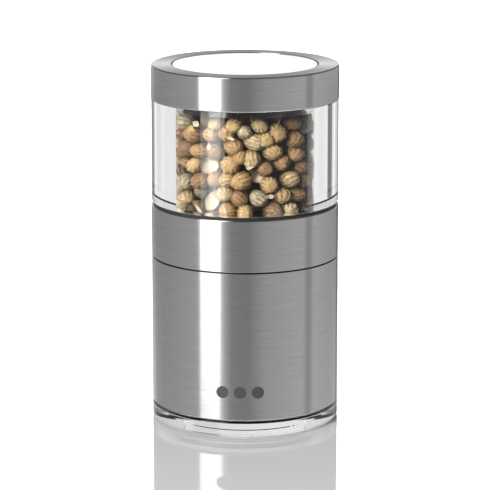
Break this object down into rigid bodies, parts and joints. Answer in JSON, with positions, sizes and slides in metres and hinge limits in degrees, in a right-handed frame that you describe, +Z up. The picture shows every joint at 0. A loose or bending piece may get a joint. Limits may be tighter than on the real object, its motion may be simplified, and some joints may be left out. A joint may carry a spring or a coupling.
{
  "type": "pepper mill",
  "caption": "Hand mill with a thick clear spice container, steel band and sleeve, flush-topped steel lid, ceramic burrs and a clear foot that covers the outlet.",
  "frame": {"origin": "middle of the foot's underside, on the surface it stands on", "axes": "+Z up along the mill's turning axis, from the foot to the lid"},
  "size_m": [0.05, 0.05, 0.096],
  "materials": {
    "brushed_steel": "fine brushing around the axis",
    "white_gloss": "glossy white",
    "clear_acrylic": "clear and polished",
    "black_rubber": "satin black",
    "clear_silicone": "milky silicone",
    "black_plastic": "fine-textured black",
    "grey_plastic": "dark grey moulding",
    "ceramic": "off-white sintered ceramic",
    "bright_steel": "bright turned steel",
    "brass": "turned brass",
    "white_nylon": "slippery white nylon",
    "coriander": "dry ribbed seed husk"
  },
  "bodies": {
    "foot_cover": {"base_cover": "clear_acrylic", "cover_seal": "clear_silicone"},
    "lower_body": {"lower_sleeve": "brushed_steel", "mill_housing": "black_plastic", "bearing_washer": "black_plastic", "retaining_ring": "bright_steel", "grinder_carrier": "grey_plastic", "carrier_screws": "bright_steel", "outer_burr": "ceramic", "burr_clamp": "grey_plastic"},
    "upper_body": {"drive_ring": "brushed_steel", "drive_collar": "black_plastic", "container": "clear_acrylic", "container_seal": "black_rubber", "drive_bridge": "black_plastic", "shaft": "bright_steel", "nut_washer": "bright_steel", "shaft_nut": "bright_steel", "end_clip": "bright_steel", "spring": "bright_steel"},
    "rotor": {"inner_burr": "ceramic", "burr_hub": "grey_plastic", "thrust_washer": "white_nylon"},
    "knob": {"adjust_knob": "grey_plastic", "knob_insert": "brass"},
    "lid": {"lid_ring": "brushed_steel", "lid_disc": "white_gloss", "lid_core": "clear_acrylic", "lid_seal": "clear_silicone"}
  },
  "joints": [
    {"name": "cover_pull", "type": "slide", "parent": "foot_cover", "child": "lower_body", "axis": [0, 0, 1], "range_m": [0, 0.03]},
    {"name": "grind_turn", "type": "hinge", "parent": "lower_body", "child": "upper_body", "pos_m": [0, 0, 0.0444], "axis": [0, 0, 1], "continuous": true},
    {"name": "lid_pull", "type": "slide", "parent": "upper_body", "child": "lid", "axis": [0, 0, 1], "range_m": [0, 0.03]},
    {"name": "burr_shift", "type": "slide", "parent": "upper_body", "child": "rotor", "axis": [0, 0, 1], "range_m": [-0.00035, 0.00035], "deforming": ["spring"]},
    {"name": "fineness", "type": "hinge", "parent": "rotor", "child": "knob", "pos_m": [0, 0, 0.0085], "axis": [0, 0, 1], "range_deg": [-182, 182]}
  ],
  "couplings": [
    {"joint": "fineness", "follows": "burr_shift", "rad_per_m": 8976}
  ]
}
